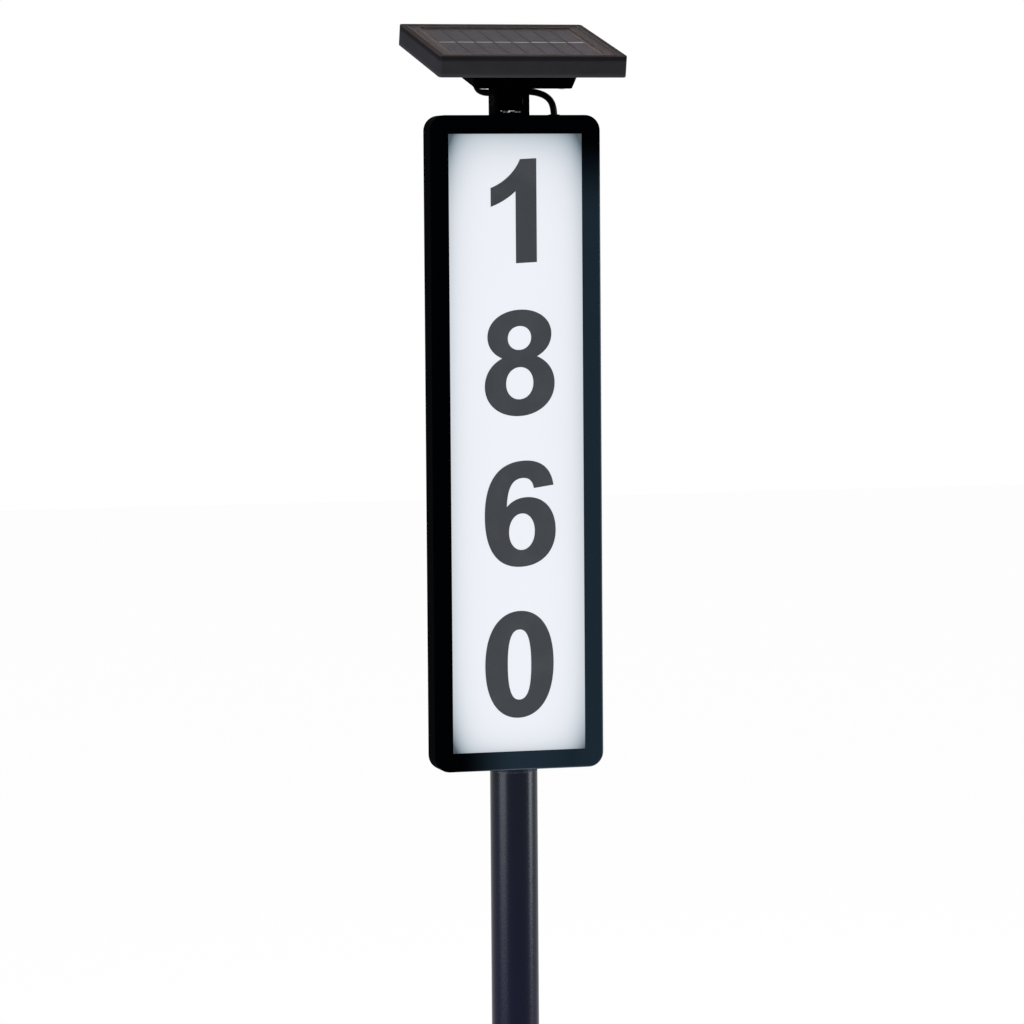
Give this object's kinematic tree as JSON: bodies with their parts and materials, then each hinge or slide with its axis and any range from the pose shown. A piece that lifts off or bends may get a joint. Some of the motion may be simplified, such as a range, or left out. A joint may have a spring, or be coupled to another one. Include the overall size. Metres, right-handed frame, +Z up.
{
  "type": "illuminated house number sign",
  "caption": "Tall lit box sign with applied plain numerals, on a round pole, with a tilting solar panel on a yoke above it.",
  "frame": {"origin": "centre of the pole's lower end, on the pole's axis", "axes": "+Z up along the pole, the lit face looks along -Y, +X to the right of someone who reads the sign"},
  "size_m": [0.1854, 0.1641, 1.4298],
  "materials": {
    "pole_paint": "satin navy-black powder coat",
    "bezel_paint": "near black fine powder coat",
    "back_paint": "near black fine powder coat",
    "opal_acrylic": "lit opal acrylic",
    "clear_diffuser": "frosted diffuser sheet",
    "numeral_vinyl": "matt dark grey vinyl on plastic",
    "white_plastic": "white reflecting plastic",
    "white_sheet": "white reflecting paint",
    "led_board_white": "white solder mask",
    "led_phosphor": "phosphor under clear resin",
    "black_rubber": "matt black rubber",
    "black_plastic": "fine-grained moulded plastic",
    "cast_aluminium": "cast and machined",
    "zinc_steel": "bright zinc plated",
    "stainless": "stainless steel",
    "battery_wrap": "plain blue shrink wrap",
    "circuit_green": "green solder mask",
    "component_black": "moulded epoxy",
    "lead_jacket": "soft black cable jacket",
    "lead_red": "thin insulated wire",
    "head_plastic": "charcoal moulded plastic, weathered",
    "box_plastic": "deep black moulded plastic",
    "laminate": "brown-black backing laminate",
    "silicon": "blue-violet polycrystalline silicon",
    "ribbon_tin": "tinned copper ribbon",
    "clear_glass": "low-iron cover glass",
    "button_grey": "grey moulded cap",
    "friction_bronze": "bronze friction disc"
  },
  "bodies": {
    "root": {"pole": "pole_paint", "pole_end_plug": "black_plastic", "pole_coupler": "cast_aluminium", "pole_mount_plate": "zinc_steel", "pole_bolts": "stainless", "front_bezel": "bezel_paint", "face_gasket": "black_rubber", "face_panel": "opal_acrylic", "numeral_1": "numeral_vinyl", "numeral_8": "numeral_vinyl", "numeral_6": "numeral_vinyl", "numeral_0": "numeral_vinyl", "diffuser_sheet": "clear_diffuser", "light_frame": "white_plastic", "reflector_plate": "white_sheet", "led_boards": "led_board_white", "led_link_board": "led_board_white", "leds": "led_phosphor", "rear_housing": "back_paint", "housing_screws": "stainless", "rear_cover_gasket": "black_rubber", "rear_cover": "back_paint", "rear_cover_screws": "stainless", "battery_holder": "black_plastic", "battery_cells": "battery_wrap", "board_standoffs": "white_plastic", "controller_board": "circuit_green", "board_parts": "component_black", "switch_body": "black_plastic", "switch_nut": "zinc_steel", "yoke_backing_plate": "zinc_steel", "yoke": "box_plastic", "yoke_screws": "stainless", "tilt_bolt": "stainless", "tilt_nut": "zinc_steel", "friction_washers": "friction_bronze", "lead_grommet": "black_rubber", "panel_lead": "lead_jacket", "solar_lead_inside": "lead_jacket", "light_lead": "lead_red", "battery_lead": "lead_red", "switch_lead": "lead_red"},
    "head": {"tilt_knuckle": "box_plastic", "knuckle_screws": "stainless", "junction_box": "box_plastic", "box_screws": "stainless", "terminal_board": "circuit_green", "lead_gland": "black_plastic", "panel_frame": "head_plastic", "solar_laminate": "laminate", "solar_cells": "silicon", "bus_ribbons": "ribbon_tin", "cover_glass": "clear_glass"},
    "button": {"power_button": "button_grey"}
  },
  "joints": [
    {"name": "panel_tilt", "type": "hinge", "parent": "root", "child": "head", "pos_m": [0, 0, 1.354], "axis": [1, 0, 0], "range_deg": [-28, 32], "deforming": ["panel_lead"]},
    {"name": "power_press", "type": "slide", "parent": "root", "child": "button", "axis": [0, -1, 0], "range_m": [0, 0.002], "stiffness_N_per_m": 600, "springref_m": -0.002}
  ]
}
